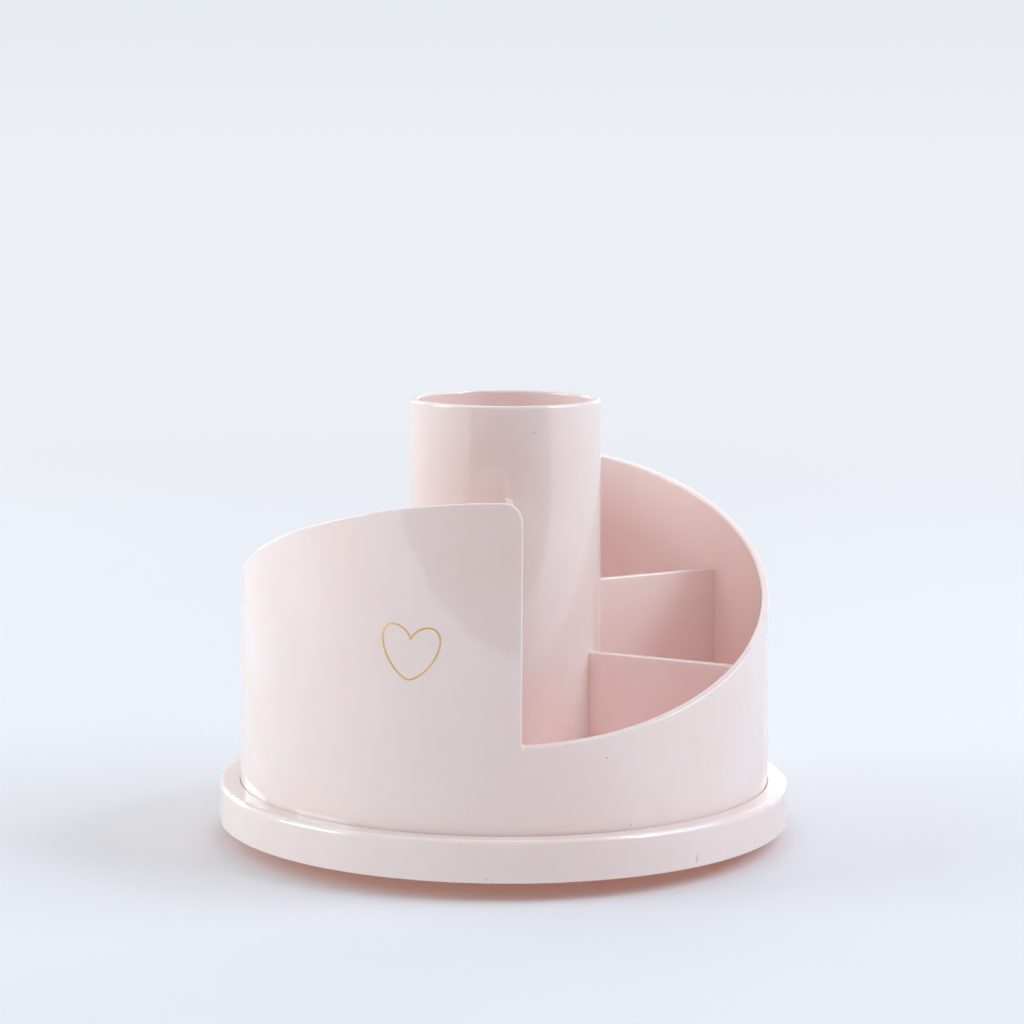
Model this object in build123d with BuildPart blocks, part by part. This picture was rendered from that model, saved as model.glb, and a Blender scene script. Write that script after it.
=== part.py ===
"""Rotating desk organiser: a moulded cup with a pen tube on a ball-borne turntable.

Millimetres, +Z up along the axis the organiser turns on, the table at Z = 0, the
front at -Y. The cup is one moulding, open below: a drafted round wall whose rim is
two sloping cuts that meet in two steps, six radial dividers and a tall pen tube.
The round plate closes it from below and turns on a ring of balls over a smaller
foot, held down by a shouldered screw.
"""

import os
from math import radians, tan

from build123d import *

os.makedirs("parts", exist_ok=True)

# Turntable plate
plate_radius = 80.0
plate_height = 11.0
plate_skin = 2.4
skirt_wall = 2.2
plate_top_round = 1.5
plate_low_round = 0.5
table_gap = 5.0  # the skirt's lower edge above the table
hub_radius = 7.5
plate_rib_count = 6
rib_thickness = 1.6
rib_bite = 0.4  # how far a rib runs into what it joins

# Cup wall and rim; heights are above the plate's top face
cup_radius = 74.3  # outside of the wall at the plate
cup_wall = 2.0
draft = 0.61  # degrees by which wall and tube lean inwards as they rise
rim_high = 86.6
rim_low = 22.9
rim_round = 0.45
step_overlap = 0.75  # the high wall runs this far past the divider's face
step_round = 5.0  # top corner of the high wall
step_foot_round = 0.6  # inner corner where a step meets the low rim
cut_margin = 12.0  # how far the rim cutter reaches past the wall
round_limit = 0.45  # most of a wall that one edge round may take

# Pen tube
tube_radius = 27.5  # outside at the plate
tube_wall = 1.9
tube_height = 106.7
tube_round = 0.8

# Dividers: each half turn has a high, a low and a middle one
divider_count = 6
divider_thickness = 2.3
divider_turn = 2.2  # degrees from the front to the first divider
divider_heights = (81.8, 37.5, 53.5)
divider_round = 0.5

# Seat of the cup on the plate
seat_depth = 0.8  # wall and tube stand this deep in grooves of the plate
seat_clearance = 0.2
divider_clearance = 0.1  # under dividers and bosses

# Cup screws, driven up through the plate into bosses under the dividers
screw_radius = 1.45
screw_head_radius = 2.8
screw_head_height = 1.7
screw_length = 7.5
screw_tip = 0.5
screw_clearance = 0.05  # around a screw in its pilot hole
hole_clearance = 0.15  # around a screw in the plate
boss_radius = 3.4
boss_inset = 7.0  # from the wall's inner face to the boss axis
boss_cap = 2.2  # solid end of a boss past its pilot hole
boss_round = 0.6
pilot_depth = 0.5  # pilot hole past the screw's tip

# Cross recess of the screws
cross_width = 0.8
cross_depth = 0.9
cross_share = 0.6  # of the head's radius

# Ball bearing
race_radius = 38.0
race_land = 5.0  # half the width of each race ring
race_gap = 2.0  # from the balls' centre plane to each race ring
ball_radius = 3.0
ball_count = 12
groove_clearance = 0.05
pocket_clearance = 0.15
cage_thickness = 1.6
cage_land = 5.5  # half the width of the cage
cage_lip_width = 0.8
cage_lip_height = 0.5  # above and below the cage's flat

# Foot
foot_radius = 56.0
foot_lift = 1.0  # foot's underside above the table
foot_floor = 2.4
foot_rim_wall = 2.2
foot_rim_height = 4.5
foot_round = 0.6
foot_web = 1.95  # under the ball groove
foot_pocket_depth = 3.0  # hollow under the race ring
foot_pocket_land = 3.0  # half its width
foot_rib_count = 6
foot_rib_height = 2.4

# Foot pads
pad_count = 6
pad_radius = 4.5
pad_recess = 0.8
pad_inset = 7.0  # from the foot's edge to the pad axis
pad_clearance = 0.2
pad_chamfer = 0.4

# Pivot: a screw clamps a washer and a bush to the hub, and the foot's web turns
# on the bush
pivot_radius = 1.95
pivot_head_radius = 3.8
pivot_head_height = 1.9
pivot_head_sink = 0.9  # above the foot's underside
pivot_thread = 5.4  # length in the hub
bush_radius = 5.0
bore_clearance = 0.05
washer_radius = 8.0
washer_thickness = 0.8
washer_clearance = 1.0  # around the washer in the foot
web_thickness = 4.0
web_wall = 2.4  # ring wall that carries the web
end_play = 0.2  # above and below the web

# Heights and radii that follow
plate_top = table_gap + plate_height
skin_low = plate_top - plate_skin
skirt_inner = plate_radius - skirt_wall
draft_slope = tan(radians(draft))
groove_radius = ball_radius + groove_clearance
ball_height = foot_lift + foot_pocket_depth + foot_web + groove_radius
foot_race_top = ball_height - race_gap
plate_race_low = ball_height + race_gap
foot_floor_top = foot_lift + foot_floor
washer_low = foot_lift + pivot_head_sink + pivot_head_height
washer_top = washer_low + washer_thickness
web_low = washer_top + end_play
web_top = web_low + web_thickness
hub_face = web_top + end_play
recess_radius = washer_radius + washer_clearance
web_ring_radius = recess_radius + web_wall
screw_circle = cup_radius - cup_wall - boss_inset
pad_circle = foot_radius - pad_inset
first_divider = -90 + divider_turn
divider_step = 360 / divider_count
between_dividers = first_divider + divider_step / 2


def wall_radius(height):
    """Outside radius of the cup's wall at a height above the plate."""
    return cup_radius - draft_slope * height


def tube_outside(height):
    """Outside radius of the pen tube at a height above the plate."""
    return tube_radius - draft_slope * height


def held_round(radius, thickness):
    """An edge round that leaves a flat between it and the round across the wall."""
    return min(radius, round_limit * thickness)


def rim_line(y):
    """Height above the table of the rising cut, on the plane through the axis."""
    front = -wall_radius(rim_low)
    back = wall_radius(rim_high)
    slope = (rim_high - rim_low) / (back - front)
    return plate_top + rim_low + slope * (y - front)


# Rising cut of the right half: everything above the sloping rim between the steps
reach = cup_radius + cut_margin
crown = plate_top + rim_high + cut_margin
step_face = divider_thickness / 2 + step_overlap

with BuildPart() as rim_cutter:
    with BuildSketch(Plane.YZ):
        with BuildLine():
            Polyline(
                (-reach, rim_line(-reach)),
                (reach, rim_line(reach)),
                (reach, crown + reach),
                (-reach, crown + reach),
                close=True,
            )
        make_face()
    extrude(amount=reach, both=True)
    with BuildSketch(Plane.XY.rotated((0, 0, divider_turn))):
        with BuildLine():
            Polyline(
                (step_face, 0),
                (step_face, -reach),
                (reach, -reach),
                (reach, reach),
                (-step_face, reach),
                (-step_face, 0),
                close=True,
            )
        make_face()
    extrude(amount=crown + reach, mode=Mode.INTERSECT)
    step_side = Plane.YZ.rotated((0, 0, divider_turn)).z_dir
    step_walls = rim_cutter.faces().filter_by(lambda face: face.normal_at() == -step_side)
    fillet(step_walls.sort_by(Axis.Y)[0].edges().sort_by(Axis.Z)[0], step_foot_round)

# Dividers, along +X: the ends lean with the tube and the wall they run into
blade_foot = plate_top + divider_clearance  # also of the screw bosses
dividers = []
for height in divider_heights:
    with BuildPart() as divider:
        with BuildSketch(Plane.XZ):
            with BuildLine():
                Polyline(
                    (tube_outside(0) - tube_wall / 2, blade_foot),
                    (wall_radius(0) - cup_wall / 2, blade_foot),
                    (wall_radius(height) - cup_wall / 2, plate_top + height),
                    (tube_outside(height) - tube_wall / 2, plate_top + height),
                    close=True,
                )
            make_face()
        extrude(amount=divider_thickness / 2, both=True)
        fillet(
            divider.faces().sort_by(Axis.Z)[-1].edges().filter_by(Axis.X),
            held_round(divider_round, divider_thickness),
        )
    dividers.append(divider.part)

# Screw boss, its foot at Z = 0
pilot_top = skin_low + screw_length + pilot_depth

with BuildPart() as screw_boss:
    Cylinder(
        boss_radius,
        pilot_top + boss_cap - blade_foot,
        align=(Align.CENTER, Align.CENTER, Align.MIN),
    )
    fillet(screw_boss.edges().sort_by(Axis.Z)[-1], boss_round)

# Cup moulding
wall_foot = plate_top - seat_depth

with BuildPart() as organizer_cup:
    with BuildSketch(Plane.XZ):
        with BuildLine():
            Polyline(
                (wall_radius(-seat_depth) - cup_wall, wall_foot),
                (wall_radius(-seat_depth), wall_foot),
                (wall_radius(rim_high + cut_margin), crown),
                (wall_radius(rim_high + cut_margin) - cup_wall, crown),
                close=True,
            )
        make_face()
    revolve(axis=Axis.Z)
    for half_turn in (0, 180):
        add(rim_cutter.part.rotate(Axis.Z, half_turn), mode=Mode.SUBTRACT)
    step_corners = organizer_cup.edges().filter_by(GeomType.LINE).group_by(Axis.Z)[-1]
    fillet(step_corners, step_round)
    plain_edges = (GeomType.LINE, GeomType.CIRCLE)
    fillet(
        organizer_cup.edges().filter_by(lambda edge: edge.geom_type not in plain_edges),
        held_round(rim_round, cup_wall),
    )
    with BuildSketch(Plane.XZ) as tube_profile:
        with BuildLine():
            Polyline(
                (tube_outside(-seat_depth) - tube_wall, wall_foot),
                (tube_outside(-seat_depth), wall_foot),
                (tube_outside(tube_height), plate_top + tube_height),
                (tube_outside(tube_height) - tube_wall, plate_top + tube_height),
                close=True,
            )
        make_face()
        tube_corners = tube_profile.vertices().group_by(Axis.Y)[-1]
        fillet(tube_corners, held_round(tube_round, tube_wall))
    revolve(axis=Axis.Z)
    for index in range(divider_count):
        blade = dividers[index % len(dividers)]
        add(blade.rotate(Axis.Z, first_divider + index * divider_step))
    with Locations((0, 0, blade_foot)):
        with PolarLocations(screw_circle, divider_count, start_angle=first_divider):
            add(screw_boss.part)
    with BuildSketch(Plane.XY.offset(blade_foot)):
        with PolarLocations(screw_circle, divider_count, start_angle=first_divider):
            Circle(screw_radius + screw_clearance)
    extrude(amount=pilot_top - blade_foot, mode=Mode.SUBTRACT)

# Turntable plate: a shallow dish turned over, ribbed below
with BuildPart() as turntable_plate:
    with BuildSketch(Plane.XZ) as dish_profile:
        with BuildLine():
            Polyline(
                (0, skin_low),
                (skirt_inner, skin_low),
                (skirt_inner, table_gap),
                (plate_radius, table_gap),
                (plate_radius, plate_top),
                (0, plate_top),
                close=True,
            )
        make_face()
        outer_corners = dish_profile.vertices().group_by(Axis.X)[-1].sort_by(Axis.Y)
        fillet(outer_corners[-1], plate_top_round)
        fillet(outer_corners[0], plate_low_round)
    revolve(axis=Axis.Z)
    with BuildSketch(Plane.XY.offset(hub_face)):
        Circle(hub_radius)
    extrude(amount=skin_low - hub_face)
    with BuildSketch(Plane.XY.offset(plate_race_low)):
        Circle(race_radius + race_land)
        Circle(race_radius - race_land, mode=Mode.SUBTRACT)
        rib_start = hub_radius - rib_bite
        rib_end = skirt_inner + rib_bite
        rib_middle = (rib_start + rib_end) / 2
        with PolarLocations(rib_middle, plate_rib_count, start_angle=between_dividers):
            Rectangle(rib_end - rib_start, rib_thickness)
    extrude(amount=skin_low - plate_race_low)
    with Locations((0, 0, ball_height)):
        Torus(race_radius, groove_radius, mode=Mode.SUBTRACT)
    with BuildSketch(Plane.XY.offset(plate_top)):
        for foot_outside, foot_wall in ((cup_radius, cup_wall), (tube_radius, tube_wall)):
            Circle(foot_outside + seat_clearance)
            Circle(foot_outside - foot_wall - seat_clearance, mode=Mode.SUBTRACT)
    extrude(amount=-seat_depth, mode=Mode.SUBTRACT)
    with BuildSketch(Plane.XY.offset(skin_low)):
        with PolarLocations(screw_circle, divider_count, start_angle=first_divider):
            Circle(screw_radius + hole_clearance)
    extrude(amount=plate_skin, mode=Mode.SUBTRACT)
    with BuildSketch(Plane.XY.offset(hub_face)):
        Circle(pivot_radius + screw_clearance)
    extrude(amount=pivot_thread + pilot_depth, mode=Mode.SUBTRACT)

# Foot: a flat dish with the lower race, a hub for the pivot and recesses for pads
with BuildPart() as foot_base:
    with BuildSketch(Plane.XZ) as foot_profile:
        with BuildLine():
            Polyline(
                (bush_radius + bore_clearance, web_low),
                (recess_radius, web_low),
                (recess_radius, foot_lift),
                (race_radius - foot_pocket_land, foot_lift),
                (race_radius - foot_pocket_land, foot_lift + foot_pocket_depth),
                (race_radius + foot_pocket_land, foot_lift + foot_pocket_depth),
                (race_radius + foot_pocket_land, foot_lift),
                (foot_radius, foot_lift),
                (foot_radius, foot_lift + foot_rim_height),
                (foot_radius - foot_rim_wall, foot_lift + foot_rim_height),
                (foot_radius - foot_rim_wall, foot_floor_top),
                (race_radius + race_land, foot_floor_top),
                (race_radius + race_land, foot_race_top),
                (race_radius - race_land, foot_race_top),
                (race_radius - race_land, foot_floor_top),
                (web_ring_radius, foot_floor_top),
                (web_ring_radius, web_top),
                (bush_radius + bore_clearance, web_top),
                close=True,
            )
        make_face()
        fillet(foot_profile.vertices().group_by(Axis.X)[-1], foot_round)
    revolve(axis=Axis.Z)
    with BuildSketch(Plane.XY.offset(foot_floor_top)):
        rib_start = web_ring_radius - rib_bite
        rib_end = foot_radius - foot_rim_wall + rib_bite
        rib_middle = (rib_start + rib_end) / 2
        with PolarLocations(rib_middle, foot_rib_count, start_angle=between_dividers):
            Rectangle(rib_end - rib_start, rib_thickness)
    extrude(amount=foot_rib_height)
    with Locations((0, 0, ball_height)):
        Torus(race_radius, groove_radius, mode=Mode.SUBTRACT)
    with BuildSketch(Plane.XY.offset(foot_lift)):
        with PolarLocations(pad_circle, pad_count, start_angle=-90):
            Circle(pad_radius + pad_clearance)
    extrude(amount=pad_recess, mode=Mode.SUBTRACT)

# Ball cage: a flat ring with a lip along each edge and a pocket for each ball
with BuildPart() as ball_cage:
    cage_inside = race_radius - cage_land
    cage_outside = race_radius + cage_land
    with BuildSketch(Plane.XY.offset(ball_height)):
        Circle(cage_outside)
        Circle(cage_inside, mode=Mode.SUBTRACT)
    extrude(amount=cage_thickness / 2, both=True)
    with BuildSketch(Plane.XY.offset(ball_height)):
        for lip_outside in (cage_outside, cage_inside + cage_lip_width):
            Circle(lip_outside)
            Circle(lip_outside - cage_lip_width, mode=Mode.SUBTRACT)
    extrude(amount=cage_thickness / 2 + cage_lip_height, both=True)
    with BuildSketch(Plane.XY.offset(ball_height)):
        with PolarLocations(race_radius, ball_count):
            Circle(ball_radius + pocket_clearance)
    extrude(amount=cage_thickness, both=True, mode=Mode.SUBTRACT)

# Bearing balls
bearing_balls = []
for index in range(ball_count):
    with BuildPart(Plane.XY.offset(ball_height)) as bearing_ball:
        with PolarLocations(race_radius, 1, start_angle=index * 360 / ball_count):
            Sphere(ball_radius)
    bearing_balls.append(bearing_ball.part)

# Foot pads
foot_pads = []
for index in range(pad_count):
    with BuildPart() as foot_pad:
        with PolarLocations(pad_circle, 1, start_angle=-90 + index * 360 / pad_count):
            Cylinder(
                pad_radius,
                foot_lift + pad_recess,
                align=(Align.CENTER, Align.CENTER, Align.MIN),
            )
        chamfer(foot_pad.edges().sort_by(Axis.Z)[0], pad_chamfer)
    foot_pads.append(foot_pad.part)

# Pivot bush and washer
with BuildPart() as pivot_bush:
    with BuildSketch(Plane.XY.offset(washer_top)):
        Circle(bush_radius)
        Circle(pivot_radius + screw_clearance, mode=Mode.SUBTRACT)
    extrude(amount=hub_face - washer_top)

with BuildPart() as pivot_washer:
    with BuildSketch(Plane.XY.offset(washer_low)):
        Circle(washer_radius)
        Circle(pivot_radius + screw_clearance, mode=Mode.SUBTRACT)
    extrude(amount=washer_thickness)


def pan_screw(radius, length, head_radius, head_height):
    """Screw that points up, with the seat of its cross-recessed head at Z = 0."""
    with BuildPart() as screw:
        with BuildSketch(Plane.XZ) as profile:
            with BuildLine():
                Polyline(
                    (0, -head_height),
                    (head_radius, -head_height),
                    (head_radius, 0),
                    (radius, 0),
                    (radius, length - screw_tip),
                    (radius - screw_tip, length),
                    (0, length),
                    close=True,
                )
            make_face()
            head_edge = profile.vertices().group_by(Axis.Y)[0].sort_by(Axis.X)[-1]
            fillet(head_edge, head_height / 2)
        revolve(axis=Axis.Z)
        with BuildSketch(Plane.XY.offset(-head_height)):
            for turn in (0, 90):
                Rectangle(2 * cross_share * head_radius, cross_width, rotation=turn)
        extrude(amount=cross_depth, mode=Mode.SUBTRACT)
    return screw.part


# Screws
clamp_length = hub_face - washer_low
pivot_shape = pan_screw(
    pivot_radius, clamp_length + pivot_thread, pivot_head_radius, pivot_head_height
)
cup_screw_shape = pan_screw(
    screw_radius, screw_length, screw_head_radius, screw_head_height
)

with BuildPart(Plane.XY.offset(washer_low)) as pivot_screw:
    with Locations((0, 0)):
        add(pivot_shape)

with BuildPart(Plane.XY.offset(skin_low)) as cup_screws:
    with PolarLocations(screw_circle, divider_count, start_angle=first_divider):
        add(cup_screw_shape)

organizer_cup.part.label = "organizer_cup"
export_step(organizer_cup.part, "parts/organizer_cup.step")
turntable_plate.part.label = "turntable_plate"
export_step(turntable_plate.part, "parts/turntable_plate.step")
foot_base.part.label = "foot_base"
export_step(foot_base.part, "parts/foot_base.step")
ball_cage.part.label = "ball_cage"
export_step(ball_cage.part, "parts/ball_cage.step")
pivot_bush.part.label = "pivot_bush"
export_step(pivot_bush.part, "parts/pivot_bush.step")
pivot_washer.part.label = "pivot_washer"
export_step(pivot_washer.part, "parts/pivot_washer.step")
pivot_screw.part.label = "pivot_screw"
export_step(pivot_screw.part, "parts/pivot_screw.step")
cup_screws.part.label = "cup_screws"
export_step(cup_screws.part, "parts/cup_screws.step")
for number, ball in enumerate(bearing_balls, start=1):
    ball.label = f"bearing_ball_{number}"
    export_step(ball, f"parts/bearing_ball_{number}.step")
for number, pad in enumerate(foot_pads, start=1):
    pad.label = f"foot_pad_{number}"
    export_step(pad, f"parts/foot_pad_{number}.step")
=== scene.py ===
from math import cos, pi, radians, sin

import bpy
import numpy as np
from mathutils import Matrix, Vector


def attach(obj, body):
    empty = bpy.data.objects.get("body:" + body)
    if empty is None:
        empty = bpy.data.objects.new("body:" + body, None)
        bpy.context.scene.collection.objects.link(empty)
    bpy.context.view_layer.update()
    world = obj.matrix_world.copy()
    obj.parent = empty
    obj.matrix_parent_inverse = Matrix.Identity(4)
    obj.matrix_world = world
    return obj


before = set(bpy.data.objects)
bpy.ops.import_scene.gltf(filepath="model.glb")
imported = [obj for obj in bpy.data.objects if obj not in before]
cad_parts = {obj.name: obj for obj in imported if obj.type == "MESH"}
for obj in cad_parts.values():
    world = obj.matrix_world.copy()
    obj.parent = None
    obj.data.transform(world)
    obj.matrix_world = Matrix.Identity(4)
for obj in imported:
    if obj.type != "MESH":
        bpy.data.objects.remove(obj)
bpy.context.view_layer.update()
print("frame loaded:", len(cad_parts), "nodes")

mm = 0.001


# inputs holds sockets to link and plain values to set, by name or number
def addNode(tree, kind, inputs=None, **settings):
    node = tree.nodes.new(kind)
    for key, value in settings.items():
        setattr(node, key, value)
    for key, value in (inputs or {}).items():
        if isinstance(value, bpy.types.NodeSocket):
            tree.links.new(value, node.inputs[key])
        else:
            node.inputs[key].default_value = value
    return node


def mathOf(tree, operation, a, b):
    return addNode(tree, "ShaderNodeMath", {0: a, 1: b}, operation=operation).outputs[0]


def stretch(tree, value, low, high, toLow=0.0, toHigh=1.0):
    node = addNode(
        tree,
        "ShaderNodeMapRange",
        {"Value": value, "From Min": low, "From Max": high, "To Min": toLow, "To Max": toHigh},
        interpolation_type="SMOOTHSTEP",
    )
    return node.outputs["Result"]


def mixColours(tree, factor, a, b):
    node = addNode(tree, "ShaderNodeMix", data_type="RGBA")
    for socket, value in ((0, factor), (6, a), (7, b)):
        if isinstance(value, bpy.types.NodeSocket):
            tree.links.new(value, node.inputs[socket])
        elif socket == 0:
            node.inputs[socket].default_value = value
        else:
            node.inputs[socket].default_value = (*value, 1.0)
    return node.outputs[2]


def newMaterial(name):
    material = bpy.data.materials.new(name)
    material.use_nodes = True
    tree = material.node_tree
    tree.nodes.clear()
    shader = addNode(tree, "ShaderNodeBsdfPrincipled")
    output = addNode(tree, "ShaderNodeOutputMaterial")
    tree.links.new(shader.outputs[0], output.inputs["Surface"])
    return material, tree, shader


def objectPoint(tree):
    return addNode(tree, "ShaderNodeTexCoord").outputs["Object"]


def noiseAt(tree, vector, size, detail=2.0, roughness=0.5):
    node = addNode(
        tree,
        "ShaderNodeTexNoise",
        {"Vector": vector, "Scale": 1.0 / size, "Detail": detail, "Roughness": roughness},
    )
    return node.outputs[0]


def scaledPoint(tree, vector, factors):
    node = addNode(
        tree, "ShaderNodeVectorMath", {0: vector, 1: factors}, operation="MULTIPLY"
    )
    return node.outputs[0]


# the moulded plastic of cup, plate and foot; lengths are in metres
cupFinish = {
    "colour": (0.960, 0.803, 0.768),
    "deepColour": (0.952, 0.771, 0.730),
    "shine": 0.9,
    "roughness": 0.012,
    "roughnessSpread": 0.020,
    "mottleSize": 0.030,
    "smudgeSize": 0.012,
    "streakWidth": 0.0012,
    "streakLength": 0.030,
    "streakPatch": 0.022,  # size of the patches that have streaks
    "streakStrength": 0.5,
    "streakDullness": 0.40,  # how much rougher a full streak is
    "ripple": 0.00002,  # height of the broad waves
    "rippleSize": 0.014,
    "grainSize": 0.0009,
    "grainShare": 0.010,  # heights of the grain and of a full streak, in ripples
    "streakRelief": 0.20,
    "bleed": 0.30,
    "bleedDepth": 0.004,
    "bleedColours": (1.0, 0.45, 0.38),  # how far red, green and blue go in
}
plateFinish = dict(cupFinish, streakStrength=0.0, roughness=0.050)
footFinish = dict(cupFinish, streakStrength=0.0, roughness=0.30, ripple=0.00004, shine=0.5)

markLook = {"cover": 0.70, "colour": (0.27, 0.25, 0.29), "depth": 0.002}
# specks and scratches: degrees to the viewer's right of the front, height above the
# table, radius of the surface, half length, half width, lean in degrees
cupMarks = [
    (21.2, 0.0356, 0.0740, 0.00030, 0.00024, 0),
    (26.6, 0.0174, 0.0742, 0.00032, 0.00022, 20),
]
tubeMarks = [(17.0, 0.1155, 0.0265, 0.00028, 0.00022, 0)]
plateMarks = [
    (39.5, 0.0072, 0.0800, 0.00150, 0.00022, 2),
    (-2.9, 0.0061, 0.0800, 0.00080, 0.00009, 62),
]


# one small mark: 1 inside a slim ellipse that lies on a round wall, 0 outside
def markMask(tree, point, mark):
    angle, height, radius, halfLength, halfWidth, lean = mark
    turn = radians(angle)
    outward = (sin(turn), -cos(turn), 0.0)
    along = (cos(turn), sin(turn), 0.0)
    centre = (radius * outward[0], radius * outward[1], height)
    offset = addNode(
        tree, "ShaderNodeVectorMath", {0: point, 1: centre}, operation="SUBTRACT"
    ).outputs[0]
    tilt = radians(lean)
    long = (sin(tilt) * along[0], sin(tilt) * along[1], cos(tilt))
    short = (cos(tilt) * along[0], cos(tilt) * along[1], -sin(tilt))
    squares = []
    for axis, half in ((long, halfLength), (short, halfWidth), (outward, markLook["depth"])):
        part = addNode(
            tree, "ShaderNodeVectorMath", {0: offset, 1: axis}, operation="DOT_PRODUCT"
        ).outputs["Value"]
        squares.append(mathOf(tree, "POWER", mathOf(tree, "DIVIDE", part, half), 2.0))
    total = mathOf(tree, "ADD", mathOf(tree, "ADD", squares[0], squares[1]), squares[2])
    return stretch(tree, total, 1.0, 0.35)


# glossy moulded plastic: mottled colour, upright flow streaks, faint ripple, specks
def mouldedPlastic(name, finish, marks):
    material, tree, shader = newMaterial(name)
    point = objectPoint(tree)
    mottle = noiseAt(tree, point, finish["mottleSize"], 3.0)
    upright = finish["streakWidth"] / finish["streakLength"]
    drawn = scaledPoint(tree, point, (1.0, 1.0, upright))
    flow = noiseAt(tree, drawn, finish["streakWidth"], 2.0)
    patches = stretch(tree, noiseAt(tree, point, finish["streakPatch"], 1.0), 0.50, 0.68)
    streaks = mathOf(tree, "MULTIPLY", stretch(tree, flow, 0.60, 0.78), patches)
    streaks = mathOf(tree, "MULTIPLY", streaks, finish["streakStrength"])
    colour = mixColours(
        tree, stretch(tree, mottle, 0.35, 0.65), finish["colour"], finish["deepColour"]
    )
    dirt = None
    for mark in marks:
        mask = markMask(tree, point, mark)
        dirt = mask if dirt is None else mathOf(tree, "MAXIMUM", dirt, mask)
    if dirt is not None:
        cover = mathOf(tree, "MULTIPLY", dirt, markLook["cover"])
        colour = mixColours(tree, cover, colour, markLook["colour"])
    tree.links.new(colour, shader.inputs["Base Color"])
    smudges = noiseAt(tree, point, finish["smudgeSize"], 4.0, 0.6)
    gloss = stretch(
        tree,
        smudges,
        0.30,
        0.75,
        finish["roughness"],
        finish["roughness"] + finish["roughnessSpread"],
    )
    dullness = mathOf(tree, "MULTIPLY", streaks, finish["streakDullness"])
    gloss = mathOf(tree, "ADD", gloss, dullness)
    tree.links.new(gloss, shader.inputs["Roughness"])
    tall = scaledPoint(tree, point, (1.0, 1.0, 0.45))
    waves = noiseAt(tree, tall, finish["rippleSize"], 1.0)
    grain = noiseAt(tree, point, finish["grainSize"], 2.0)
    fine = mathOf(
        tree,
        "ADD",
        mathOf(tree, "MULTIPLY", grain, finish["grainShare"]),
        mathOf(tree, "MULTIPLY", streaks, finish["streakRelief"]),
    )
    relief = mathOf(tree, "ADD", waves, fine)
    bump = addNode(
        tree, "ShaderNodeBump", {"Height": relief, "Distance": finish["ripple"], "Strength": 1.0}
    )
    tree.links.new(bump.outputs[0], shader.inputs["Normal"])
    shader.inputs["IOR"].default_value = 1.5
    shader.inputs["Specular IOR Level"].default_value = finish["shine"]
    shader.inputs["Subsurface Weight"].default_value = finish["bleed"]
    shader.inputs["Subsurface Radius"].default_value = finish["bleedColours"]
    shader.inputs["Subsurface Scale"].default_value = finish["bleedDepth"]
    return material


def dress(node, material):
    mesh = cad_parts[node].data
    if not mesh.materials:
        mesh.materials.append(material)
    for index in range(len(mesh.materials)):
        mesh.materials[index] = material


dress("organizer_cup", mouldedPlastic("pinkCupPlastic", cupFinish, cupMarks + tubeMarks))
dress("turntable_plate", mouldedPlastic("pinkPlatePlastic", plateFinish, plateMarks))
dress("foot_base", mouldedPlastic("pinkFootPlastic", footFinish, []))
print("moulded plastic done")


# name, colour, darker colour, roughness, size of the turning lines or of the grain
metals = {
    "ball": ("polishedBallSteel", (0.62, 0.62, 0.63), (0.50, 0.50, 0.52), 0.10, 0.0008),
    "screw": ("zincScrewSteel", (0.55, 0.56, 0.58), (0.40, 0.42, 0.46), 0.32, 0.0004),
    "bush": ("turnedBushBrass", (0.72, 0.52, 0.22), (0.58, 0.40, 0.16), 0.22, 0.0003),
}
# the same, and how much light goes below the surface
softs = {
    "cage": ("naturalCageNylon", (0.78, 0.77, 0.72), (0.70, 0.69, 0.63), 0.42, 0.0006, 0.2),
    "pad": ("paleFootRubber", (0.62, 0.60, 0.58), (0.52, 0.50, 0.48), 0.72, 0.0004, 0.1),
}


def metalFinish(name, colour, darkColour, roughness, lineSize):
    material, tree, shader = newMaterial(name)
    point = objectPoint(tree)
    cloud = noiseAt(tree, point, 0.004, 3.0)
    lines = noiseAt(tree, scaledPoint(tree, point, (0.15, 0.15, 1.0)), lineSize, 2.0)
    tree.links.new(
        mixColours(tree, stretch(tree, cloud, 0.35, 0.7), colour, darkColour),
        shader.inputs["Base Color"],
    )
    tree.links.new(
        stretch(tree, lines, 0.3, 0.7, roughness * 0.7, roughness * 1.4),
        shader.inputs["Roughness"],
    )
    bump = addNode(tree, "ShaderNodeBump", {"Height": lines, "Distance": 0.00001})
    tree.links.new(bump.outputs[0], shader.inputs["Normal"])
    shader.inputs["Metallic"].default_value = 1.0
    return material


def softFinish(name, colour, darkColour, roughness, grainSize, bleed):
    material, tree, shader = newMaterial(name)
    point = objectPoint(tree)
    cloud = noiseAt(tree, point, 0.006, 3.0)
    grain = noiseAt(tree, point, grainSize, 3.0)
    tree.links.new(
        mixColours(tree, stretch(tree, cloud, 0.35, 0.7), colour, darkColour),
        shader.inputs["Base Color"],
    )
    tree.links.new(
        stretch(tree, grain, 0.3, 0.7, roughness * 0.85, min(1.0, roughness * 1.15)),
        shader.inputs["Roughness"],
    )
    bump = addNode(tree, "ShaderNodeBump", {"Height": grain, "Distance": 0.00003})
    tree.links.new(bump.outputs[0], shader.inputs["Normal"])
    shader.inputs["Subsurface Weight"].default_value = bleed
    shader.inputs["Subsurface Scale"].default_value = 0.002
    return material


ballSteel = metalFinish(*metals["ball"])
zincSteel = metalFinish(*metals["screw"])
turnedBrass = metalFinish(*metals["bush"])
cageNylon = softFinish(*softs["cage"])
padRubber = softFinish(*softs["pad"])

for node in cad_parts:
    if node.startswith("bearing_ball"):
        dress(node, ballSteel)
    elif node.startswith("foot_pad"):
        dress(node, padRubber)
dress("ball_cage", cageNylon)
dress("pivot_bush", turnedBrass)
for node in ("pivot_screw", "pivot_washer", "cup_screws"):
    dress(node, zincSteel)
print("hardware finishes done")


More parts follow.
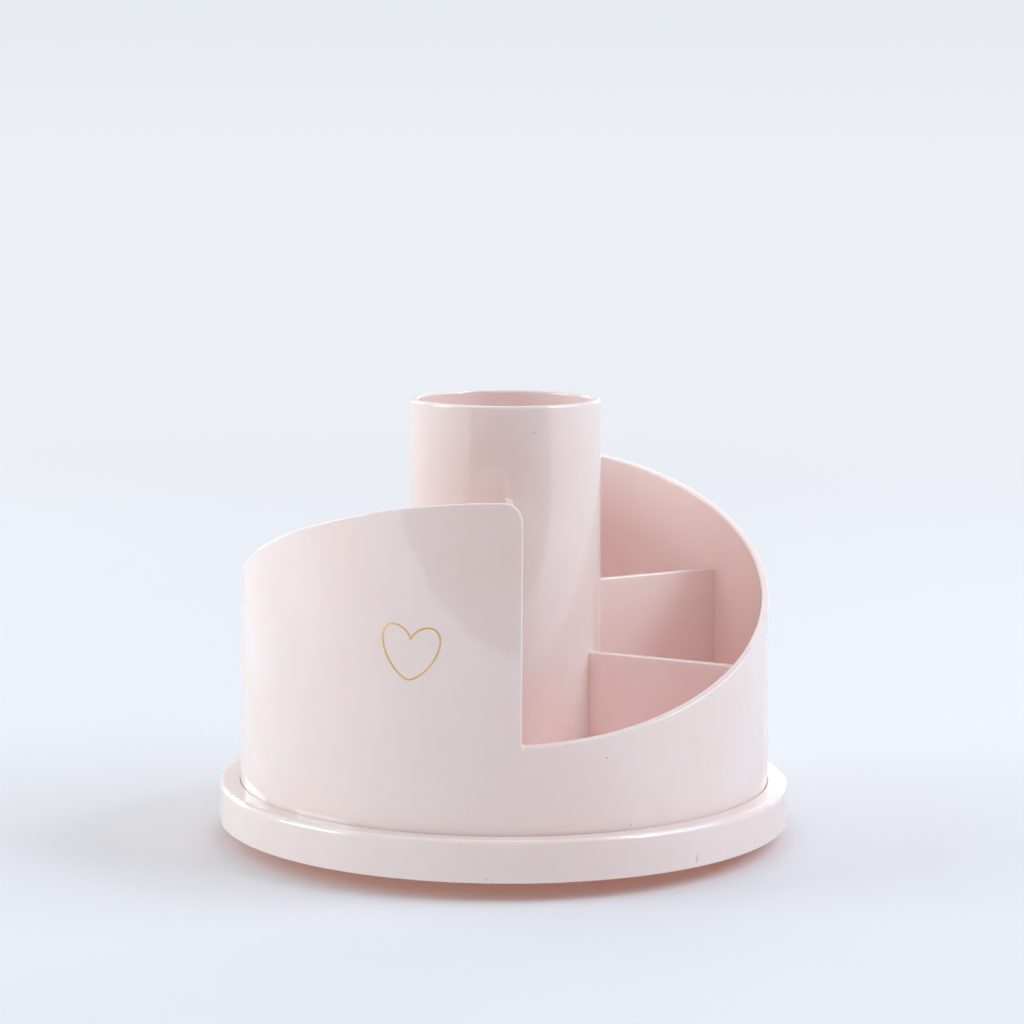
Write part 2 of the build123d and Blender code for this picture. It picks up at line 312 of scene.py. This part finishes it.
# foil line figure on the wall; terms are in mm
heartShape = {
    "place": -18.97,  # degrees of the cleft from the front
    "height": 0.0664,  # of the cleft above the table
    "lean": 4.0,
    "across": (6.10, -0.27, -1.86),  # sine terms of the outline
    "up": (6.77, -2.79, -1.56, 0.22),  # cosine terms
    "lineWidth": 0.46 * mm,
    "thickness": 0.03 * mm,
    "steps": 320,
}
wallFoot = {"radius": 0.0743, "height": 0.016, "draft": 0.61}  # the wall leans in by draft
foilLook = {
    "colour": (0.84, 0.51, 0.17),
    "paleColour": (0.92, 0.61, 0.25),
    "wornColour": (0.76, 0.48, 0.20),
    "roughness": (0.34, 0.46),
    "metallic": 0.70,
}


def goldFoil(look):
    material, tree, shader = newMaterial("stampedGoldFoil")
    point = objectPoint(tree)
    wear = noiseAt(tree, point, 0.0008, 3.0, 0.6)
    drift = noiseAt(tree, point, 0.005, 1.0)
    colour = mixColours(
        tree, stretch(tree, drift, 0.35, 0.65), look["colour"], look["paleColour"]
    )
    colour = mixColours(tree, stretch(tree, wear, 0.62, 0.80), colour, look["wornColour"])
    tree.links.new(colour, shader.inputs["Base Color"])
    gloss = stretch(tree, wear, 0.3, 0.7, *look["roughness"])
    tree.links.new(gloss, shader.inputs["Roughness"])
    bump = addNode(tree, "ShaderNodeBump", {"Height": wear, "Distance": 0.000002})
    tree.links.new(bump.outputs[0], shader.inputs["Normal"])
    shader.inputs["Metallic"].default_value = look["metallic"]
    return material


# rings of points in an (n, m, 3) array become one mesh, closed around each ring
def gridObject(name, points, material, caps=True):
    rows, columns = points.shape[:2]
    index = np.arange(rows * columns).reshape(rows, columns)
    following = np.roll(index, -1, axis=1)
    quads = np.stack(
        [index[:-1], following[:-1], following[1:], index[1:]], axis=-1
    ).reshape(-1, 4)
    faces = quads.tolist()
    if caps:
        faces += [index[0][::-1].tolist(), index[-1].tolist()]
    mesh = bpy.data.meshes.new(name)
    mesh.from_pydata(points.reshape(-1, 3).tolist(), [], faces)
    mesh.validate()
    mesh.polygons.foreach_set("use_smooth", np.ones(len(mesh.polygons), dtype=bool))
    mesh.materials.append(material)
    mesh.update()
    piece = bpy.data.objects.new(name, mesh)
    bpy.context.scene.collection.objects.link(piece)
    return piece


# The outline is a sum of waves of one turn t: across = a sin t + b sin 2t + c sin 3t,
# up = d cos t + e cos 2t + f cos 3t + g cos 4t, both nil at the cleft. It is leant over,
# wrapped on the leaning wall as arc length and height, and given a low rounded section
# that stands proud of the wall by the foil's thickness.
def heartFoil(shape, wall):
    turn = np.linspace(0.0, 2 * pi, shape["steps"])
    across = sum(a * np.sin((k + 1) * turn) for k, a in enumerate(shape["across"]))
    up = sum(a * (np.cos((k + 1) * turn) - 1) for k, a in enumerate(shape["up"]))
    lean = radians(shape["lean"])
    along = (across * cos(lean) + up * sin(lean)) * mm
    rise = (up * cos(lean) - across * sin(lean)) * mm
    runAlong, runRise = np.gradient(along), np.gradient(rise)
    run = np.hypot(runAlong, runRise)
    sideAlong, sideRise = -runRise / run, runAlong / run
    section = np.linspace(0.0, 2 * pi, 12, endpoint=False)
    sideways = 0.5 * shape["lineWidth"] * np.cos(section)
    proud = shape["thickness"] * np.sin(section)
    arc = along[:, None] + sideAlong[:, None] * sideways
    z = shape["height"] + rise[:, None] + sideRise[:, None] * sideways
    radius = wall["radius"] - np.tan(radians(wall["draft"])) * (z - wall["height"])
    angle = radians(shape["place"]) + arc / radius
    reach = radius + proud
    points = np.stack([reach * np.sin(angle), -reach * np.cos(angle), z], axis=-1)
    return gridObject("heart_foil", points, goldFoil(foilLook))


heart = heartFoil(heartShape, wallFoot)
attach(heart, "turntable")
print("foil figure done")


floorLook = {
    "radius": 4.0,
    "rings": (0.0001, 0.1, 0.3, 1.0),
    "colour": (0.842, 0.828, 0.848),
    "fadeStart": 0.35,  # distances at which the floor turns into the backdrop's colour
    "fadeEnd": 1.2,
    "sheetEnd": 0.465,  # metres in front of the centre, where the pale sheet stops
    "sheetSlant": 0.35,  # how fast its edge falls back towards the left
    "sheetBlur": 0.02,
    "raggedness": 0.10,
    "roomLeft": 43.0,  # degrees round from the camera that the darker room fills
    "roomRight": 56.0,
    "roomBlur": (0.06, 0.10),  # radians
    "room": (0.10, 0.055, 0.04),
}
backdrop = {
    "high": (0.800, 0.828, 0.885),
    "middle": (0.840, 0.864, 0.920),
    "low": (0.840, 0.868, 0.932),
    "light": (0.95, 0.94, 0.98),
    "lightStrength": 0.465,  # from above only
}


# 1 in front of the object, where the unlit room stands behind the camera, 0 elsewhere
def roomShare(tree, around, look):
    left, right = radians(-look["roomLeft"]), radians(look["roomRight"])
    leftBlur, rightBlur = look["roomBlur"]
    past = stretch(tree, around, left - leftBlur, left + leftBlur)
    before = stretch(tree, around, right - rightBlur, right + rightBlur, 1.0, 0.0)
    return mathOf(tree, "MULTIPLY", past, before)


# the floor shades as a plain sheet near the object and fades to the backdrop's colour
def paleFloor(look):
    material, tree, shader = newMaterial("paleStudioFloor")
    shader.inputs["Base Color"].default_value = (*look["colour"], 1.0)
    shader.inputs["Roughness"].default_value = 0.7
    shader.inputs["Specular IOR Level"].default_value = 0.2
    point = objectPoint(tree)
    distance = addNode(
        tree, "ShaderNodeVectorMath", {0: point}, operation="LENGTH"
    ).outputs["Value"]
    rays = addNode(tree, "ShaderNodeLightPath").outputs
    seen = mathOf(tree, "MAXIMUM", rays["Is Camera Ray"], rays["Is Glossy Ray"])
    seen = mathOf(tree, "MAXIMUM", seen, rays["Is Transmission Ray"])
    fade = stretch(tree, distance, look["fadeStart"], look["fadeEnd"])
    part = addNode(tree, "ShaderNodeSeparateXYZ", {0: point}).outputs
    ahead = mathOf(tree, "MULTIPLY", part["Y"], -1.0)
    ragged = mathOf(tree, "SUBTRACT", noiseAt(tree, point, 0.10, 2.0), 0.5)
    ragged = mathOf(tree, "MULTIPLY", ragged, look["raggedness"])
    slant = mathOf(
        tree, "MULTIPLY", mathOf(tree, "MINIMUM", part["X"], 0.0), look["sheetSlant"]
    )
    depth = mathOf(tree, "ADD", mathOf(tree, "ADD", ahead, ragged), slant)
    blur = look["sheetBlur"]
    beyond = stretch(tree, depth, look["sheetEnd"] - blur, look["sheetEnd"] + blur)
    around = mathOf(tree, "ARCTAN2", part["X"], ahead)
    room = mathOf(
        tree,
        "MULTIPLY",
        mathOf(tree, "MULTIPLY", beyond, rays["Is Glossy Ray"]),
        roomShare(tree, around, look),
    )
    far = addNode(
        tree,
        "ShaderNodeEmission",
        {"Color": mixColours(tree, room, backdrop["middle"], look["room"]), "Strength": 1.0},
    )
    fade = mathOf(tree, "MAXIMUM", fade, room)
    mix = addNode(tree, "ShaderNodeMixShader", {0: mathOf(tree, "MULTIPLY", seen, fade)})
    tree.links.new(shader.outputs[0], mix.inputs[1])
    tree.links.new(far.outputs[0], mix.inputs[2])
    output = next(n for n in tree.nodes if n.type == "OUTPUT_MATERIAL")
    tree.links.new(mix.outputs[0], output.inputs["Surface"])
    return material


def roundFloor(look):
    turn = np.linspace(0.0, 2 * pi, 128, endpoint=False)
    rings = np.array([*look["rings"], look["radius"]])
    points = np.stack(
        [
            rings[:, None] * np.cos(turn),
            rings[:, None] * np.sin(turn),
            np.zeros((len(rings), len(turn))),
        ],
        axis=-1,
    )
    return gridObject("studio_floor", points, paleFloor(look), caps=False)


roundFloor(floorLook)


def backdropWorld(look):
    world = bpy.data.worlds.new("paleBackdrop")
    world.use_nodes = True
    bpy.context.scene.world = world
    tree = world.node_tree
    tree.nodes.clear()
    output = addNode(tree, "ShaderNodeOutputWorld")
    direction = addNode(tree, "ShaderNodeTexCoord").outputs["Generated"]
    part = addNode(tree, "ShaderNodeSeparateXYZ", {0: direction}).outputs
    height = part["Z"]
    shown = mixColours(tree, stretch(tree, height, -0.01, 0.05), look["middle"], look["high"])
    shown = mixColours(tree, stretch(tree, height, 0.0, -0.12), shown, look["low"])
    rays = addNode(tree, "ShaderNodeLightPath").outputs
    seen = mathOf(tree, "MAXIMUM", rays["Is Camera Ray"], rays["Is Glossy Ray"])
    seen = mathOf(tree, "MAXIMUM", seen, rays["Is Transmission Ray"])
    around = mathOf(tree, "ARCTAN2", part["X"], mathOf(tree, "MULTIPLY", part["Y"], -1.0))
    room = mathOf(
        tree, "MULTIPLY", rays["Is Glossy Ray"], roomShare(tree, around, floorLook)
    )
    shown = mixColours(tree, room, shown, floorLook["room"])
    overhead = stretch(tree, height, 0.15, 0.35)
    overhead = mathOf(tree, "MULTIPLY", overhead, look["lightStrength"])
    lightPart = addNode(
        tree, "ShaderNodeBackground", {"Color": (*look["light"], 1.0), "Strength": overhead}
    )
    seenPart = addNode(tree, "ShaderNodeBackground", {"Color": shown, "Strength": 1.0})
    mix = addNode(tree, "ShaderNodeMixShader", {0: seen})
    tree.links.new(lightPart.outputs[0], mix.inputs[1])
    tree.links.new(seenPart.outputs[0], mix.inputs[2])
    tree.links.new(mix.outputs[0], output.inputs["Surface"])


backdropWorld(backdrop)


lamps = [
    # name, degrees round from the camera towards the right, degrees up, width and
    # height, watts, colour
    ("rightSoftbox", (88, 40), (0.9, 0.9), 7.95, (0.80, 0.93, 1.00)),
    ("rightKey", (65, 35), (0.25, 0.25), 2.17, (0.69, 0.83, 1.00)),
    ("rightTopKey", (90, 60), (0.25, 0.25), 1.74, (0.71, 0.83, 1.00)),
    ("leftSoftbox", (-82, 15), (0.75, 0.75), 7.99, (0.83, 0.97, 1.00)),
    ("leftHighPanel", (-103, 42), (0.85, 0.85), 2.17, (0.82, 0.96, 0.99)),
    ("leftBackPanel", (-135, 15), (0.7, 0.7), 4.00, (0.88, 0.96, 1.00)),
    ("backHighPanel", (180, 42), (0.8, 0.8), 1.84, (0.90, 0.90, 0.92)),
    ("backLowPanel", (155, 15), (0.9, 0.8), 1.74, (0.90, 0.91, 0.97)),
    ("frontFill", (0, 15), (0.7, 0.7), 1.50, (0.85, 0.82, 0.82)),
]
lampDistance = 1.4
lampAim = (0.0, 0.0, 0.05)


def softLamp(name, bearing, size, watts, colour):
    light = bpy.data.lights.new(name, "AREA")
    light.shape = "RECTANGLE"
    light.size, light.size_y = size
    light.energy = watts
    light.color = colour
    lamp = bpy.data.objects.new(name, light)
    bpy.context.scene.collection.objects.link(lamp)
    around, up = (radians(angle) for angle in bearing)
    reach = Vector((sin(around) * cos(up), -cos(around) * cos(up), sin(up)))
    lamp.location = Vector(lampAim) + lampDistance * reach
    lamp.rotation_euler = (-reach).to_track_quat("-Z", "Y").to_euler()
    lamp.visible_camera = False


for lamp in lamps:
    softLamp(*lamp)


# light that the plate's plastic lets through to the floor under its overhang
underGlow = {"width": 0.158, "height": 0.0048, "watts": 0.0064, "colour": (1.0, 0.52, 0.28)}


def glowDisc(look):
    light = bpy.data.lights.new("underGlow", "AREA")
    light.shape = "DISK"
    light.size = look["width"]
    light.energy = look["watts"]
    light.color = look["colour"]
    lamp = bpy.data.objects.new("underGlow", light)
    bpy.context.scene.collection.objects.link(lamp)
    lamp.location = (0.0, 0.0, look["height"])
    lamp.visible_camera = False


glowDisc(underGlow)


cameraPlace = {
    "position": (0.00189, -0.8048, 0.1948),
    "pitch": 7.374,  # degrees looking down
    "roll": 0.2865,
    "lens": 102.02,
}


def studioCamera(place):
    data = bpy.data.cameras.new("studioCamera")
    data.sensor_fit = "HORIZONTAL"
    data.sensor_width = 36.0
    data.lens = place["lens"]
    data.clip_start = 0.01
    data.clip_end = 50.0
    camera = bpy.data.objects.new("studioCamera", data)
    bpy.context.scene.collection.objects.link(camera)
    camera.location = place["position"]
    camera.rotation_mode = "XYZ"
    lookDown = Matrix.Rotation(radians(90.0 - place["pitch"]), 4, "X")
    leanOver = Matrix.Rotation(radians(place["roll"]), 4, "Z")
    camera.rotation_euler = (lookDown @ leanOver).to_euler()
    bpy.context.scene.camera = camera


studioCamera(cameraPlace)
bpy.context.scene.view_settings.view_transform = "Standard"
bpy.context.scene.cycles.max_bounces = 16
bpy.context.scene.cycles.diffuse_bounces = 12  # light finds its way deep into the pockets
print("studio done")
